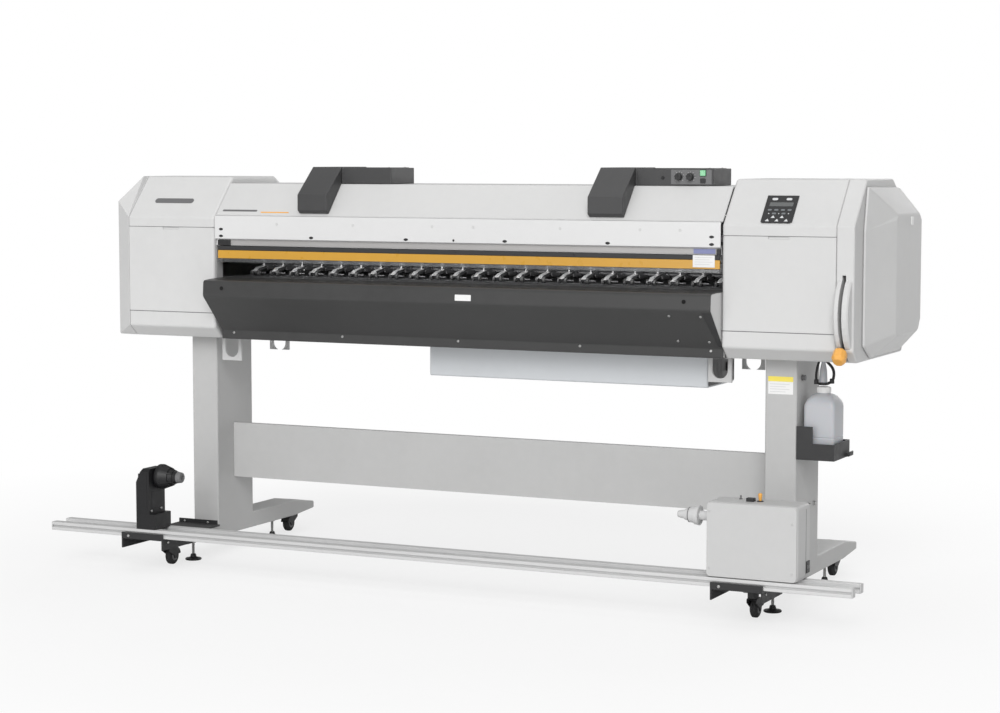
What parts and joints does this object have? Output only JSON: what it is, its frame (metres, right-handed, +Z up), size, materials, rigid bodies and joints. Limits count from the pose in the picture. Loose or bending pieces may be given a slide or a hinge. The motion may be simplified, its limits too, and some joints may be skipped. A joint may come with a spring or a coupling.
{
  "type": "wide-format printer cutter",
  "caption": "Wide-format roll printer and cutter with hinged end doors, an amber front cover and a hood, on a wheeled stand with a take-up unit on two rails in front.",
  "frame": {"origin": "floor level, under the middle of the machine's overall width and depth", "axes": "+X to the right along the machine's width as the person in front sees it, -Y towards that person, +Z up"},
  "size_m": [2.704, 1.004, 1.294],
  "materials": {
    "shell_white": "fine textured warm light grey casing",
    "plate_white": "satin white painted sheet",
    "charcoal": "satin charcoal",
    "dark_plastic": "matt dark grey",
    "black_plastic": "matt black",
    "black_metal": "black powder coat",
    "duct_grey": "matt dark grey",
    "orange_plastic": "satin orange",
    "amber_acrylic": "clear amber sheet",
    "steel": "bright machined steel",
    "steel_grey": "grey painted steel",
    "platen_grey": "dark anodised",
    "pale_metal": "pale blue-grey coated sheet",
    "leg_grey": "light grey powder coat",
    "box_grey": "light grey powder coat",
    "rubber": "black rubber",
    "aluminium": "natural anodised extrusion",
    "bottle_white": "translucent milky plastic",
    "green_lens": "lit green lens"
  },
  "bodies": {
    "machine": {"main_frame": "steel_grey", "left_housing": "shell_white", "right_housing": "shell_white", "left_end_cover": "shell_white", "right_end_cover": "shell_white", "lever_guard": "shell_white", "hood_cover": "shell_white", "hood_plate": "plate_white", "rear_cover": "shell_white", "front_guide": "charcoal", "platen": "platen_grey", "carriage_rail": "steel", "cap_station": "dark_plastic", "control_panel": "dark_plastic", "left_duct": "duct_grey", "right_duct": "duct_grey", "power_box": "pale_metal", "lift_bracket_left": "pale_metal", "lift_bracket_right": "pale_metal", "left_stand_leg": "leg_grey", "right_stand_leg": "leg_grey", "stay_panel": "leg_grey", "bottle_holder": "charcoal", "takeup_rail_front": "aluminium", "takeup_rail_rear": "aluminium", "takeup_bracket_left": "black_metal", "takeup_bracket_right": "black_metal", "takeup_motor_box": "box_grey"},
    "left_door": {"left_door": "shell_white"},
    "right_door": {"right_door": "shell_white"},
    "front_cover": {"cover_frame": "charcoal", "amber_window": "amber_acrylic"},
    "loading_lever": {"loading_lever": "charcoal", "lever_knob": "orange_plastic"},
    "pinch_arms": {"pinch_arms": "steel"},
    "pinch_wheels": {"pinch_wheels": "rubber"},
    "grit_roller": {"grit_roller": "steel"},
    "carriage": {"carriage": "charcoal"},
    "cutter_head": {"cutter_head": "steel"},
    "idler_holder": {"idler_holder": "black_plastic"},
    "idler_cone": {"idler_cone": "black_plastic"},
    "drive_cone": {"drive_cone": "pale_metal"},
    "takeup_toggle": {"takeup_toggle": "orange_plastic"},
    "waste_bottle": {"waste_bottle": "bottle_white"},
    "duct_dial_left": {"duct_dial_left": "black_plastic"},
    "duct_dial_right": {"duct_dial_right": "black_plastic"},
    "duct_power_key": {"duct_power_key": "green_lens"},
    "caster_front_left_fork": {"caster_front_left_fork": "black_plastic"},
    "caster_front_left_wheel": {"caster_front_left_wheel": "rubber"},
    "caster_rear_left_fork": {"caster_rear_left_fork": "black_plastic"},
    "caster_rear_left_wheel": {"caster_rear_left_wheel": "rubber"},
    "leveling_foot_front_left": {"leveling_foot_front_left": "black_plastic"},
    "leveling_foot_rear_left": {"leveling_foot_rear_left": "black_plastic"},
    "caster_front_right_fork": {"caster_front_right_fork": "black_plastic"},
    "caster_front_right_wheel": {"caster_front_right_wheel": "rubber"},
    "caster_rear_right_fork": {"caster_rear_right_fork": "black_plastic"},
    "caster_rear_right_wheel": {"caster_rear_right_wheel": "rubber"},
    "leveling_foot_front_right": {"leveling_foot_front_right": "black_plastic"},
    "leveling_foot_rear_right": {"leveling_foot_rear_right": "black_plastic"}
  },
  "joints": [
    {"name": "left_door_hinge", "type": "hinge", "parent": "machine", "child": "left_door", "pos_m": [-1.054, -0.226, 0.8184], "axis": [1, 0, 0], "range_deg": [0, 90]},
    {"name": "right_door_hinge", "type": "hinge", "parent": "machine", "child": "right_door", "pos_m": [1.036, -0.226, 0.8184], "axis": [1, 0, 0], "range_deg": [0, 90]},
    {"name": "front_cover_hinge", "type": "hinge", "parent": "machine", "child": "front_cover", "pos_m": [-0.012, -0.22, 1.0385], "axis": [-1, 0, 0], "range_deg": [0, 90]},
    {"name": "loading_lever_pivot", "type": "hinge", "parent": "machine", "child": "loading_lever", "pos_m": [1.2335, -0.128, 0.875], "axis": [-1, 0, 0], "range_deg": [0, 86]},
    {"name": "pinch_arm_lift", "type": "hinge", "parent": "machine", "child": "pinch_arms", "pos_m": [-0.012, 0.036, 0.966], "axis": [-1, 0, 0], "range_deg": [0, 8.02]},
    {"name": "grit_roller_spin", "type": "hinge", "parent": "machine", "child": "grit_roller", "pos_m": [-0.012, -0.066, 0.9235], "axis": [1, 0, 0], "continuous": true},
    {"name": "pinch_wheel_spin", "type": "hinge", "parent": "pinch_arms", "child": "pinch_wheels", "pos_m": [-0.012, -0.07, 0.9456], "axis": [1, 0, 0], "continuous": true},
    {"name": "carriage_travel", "type": "slide", "parent": "machine", "child": "carriage", "axis": [-1, 0, 0], "range_m": [0, 1.95]},
    {"name": "cutter_stroke", "type": "slide", "parent": "carriage", "child": "cutter_head", "axis": [0, 0, -1], "range_m": [0, 0.008]},
    {"name": "caster_front_left_swivel", "type": "hinge", "parent": "machine", "child": "caster_front_left_fork", "pos_m": [-0.9945, -0.354, 0.0636], "axis": [0, 0, 1], "continuous": true},
    {"name": "caster_front_left_roll", "type": "hinge", "parent": "caster_front_left_fork", "child": "caster_front_left_wheel", "pos_m": [-0.9945, -0.332, 0.0285], "axis": [1, 0, 0], "continuous": true},
    {"name": "caster_rear_left_swivel", "type": "hinge", "parent": "machine", "child": "caster_rear_left_fork", "pos_m": [-0.9945, 0.428, 0.0636], "axis": [0, 0, 1], "continuous": true},
    {"name": "caster_rear_left_roll", "type": "hinge", "parent": "caster_rear_left_fork", "child": "caster_rear_left_wheel", "pos_m": [-0.9945, 0.406, 0.0285], "axis": [1, 0, 0], "continuous": true},
    {"name": "leveling_foot_front_left_screw", "type": "slide", "parent": "machine", "child": "leveling_foot_front_left", "axis": [0, 0, -1], "range_m": [0, 0.012]},
    {"name": "leveling_foot_rear_left_screw", "type": "slide", "parent": "machine", "child": "leveling_foot_rear_left", "axis": [0, 0, -1], "range_m": [0, 0.012]},
    {"name": "caster_front_right_swivel", "type": "hinge", "parent": "machine", "child": "caster_front_right_fork", "pos_m": [1.0145, -0.354, 0.0636], "axis": [0, 0, 1], "continuous": true},
    {"name": "caster_front_right_roll", "type": "hinge", "parent": "caster_front_right_fork", "child": "caster_front_right_wheel", "pos_m": [1.0145, -0.332, 0.0285], "axis": [1, 0, 0], "continuous": true},
    {"name": "caster_rear_right_swivel", "type": "hinge", "parent": "machine", "child": "caster_rear_right_fork", "pos_m": [1.0145, 0.428, 0.0636], "axis": [0, 0, 1], "continuous": true},
    {"name": "caster_rear_right_roll", "type": "hinge", "parent": "caster_rear_right_fork", "child": "caster_rear_right_wheel", "pos_m": [1.0145, 0.406, 0.0285], "axis": [1, 0, 0], "continuous": true},
    {"name": "leveling_foot_front_right_screw", "type": "slide", "parent": "machine", "child": "leveling_foot_front_right", "axis": [0, 0, -1], "range_m": [0, 0.012]},
    {"name": "leveling_foot_rear_right_screw", "type": "slide", "parent": "machine", "child": "leveling_foot_rear_right", "axis": [0, 0, -1], "range_m": [0, 0.012]},
    {"name": "idler_holder_slide", "type": "slide", "parent": "machine", "child": "idler_holder", "axis": [1, 0, 0], "range_m": [-0.3, 1.5]},
    {"name": "idler_cone_spin", "type": "hinge", "parent": "idler_holder", "child": "idler_cone", "pos_m": [-0.9686, -0.436, 0.304], "axis": [1, 0, 0], "continuous": true},
    {"name": "drive_cone_spin", "type": "hinge", "parent": "machine", "child": "drive_cone", "pos_m": [0.9196, -0.436, 0.304], "axis": [1, 0, 0], "continuous": true},
    {"name": "takeup_toggle_tilt", "type": "hinge", "parent": "machine", "child": "takeup_toggle", "pos_m": [1.061, -0.436, 0.3575], "axis": [0, 1, 0], "range_deg": [-15, 15]},
    {"name": "waste_bottle_lift", "type": "slide", "parent": "machine", "child": "waste_bottle", "axis": [0, 0, 1], "range_m": [0, 0.075]},
    {"name": "duct_dial_left_turn", "type": "hinge", "parent": "machine", "child": "duct_dial_left", "pos_m": [0.688, -0.1229, 1.267], "axis": [0, -1, 0], "range_deg": [-135, 135]},
    {"name": "duct_dial_right_turn", "type": "hinge", "parent": "machine", "child": "duct_dial_right", "pos_m": [0.7245, -0.1229, 1.267], "axis": [0, -1, 0], "range_deg": [-135, 135]},
    {"name": "duct_power_key_press", "type": "slide", "parent": "machine", "child": "duct_power_key", "axis": [0, 1, 0], "range_m": [0, 0.003]}
  ],
  "couplings": [
    {"joint": "pinch_arm_lift", "follows": "loading_lever_pivot", "ratio": 0.09302}
  ]
}
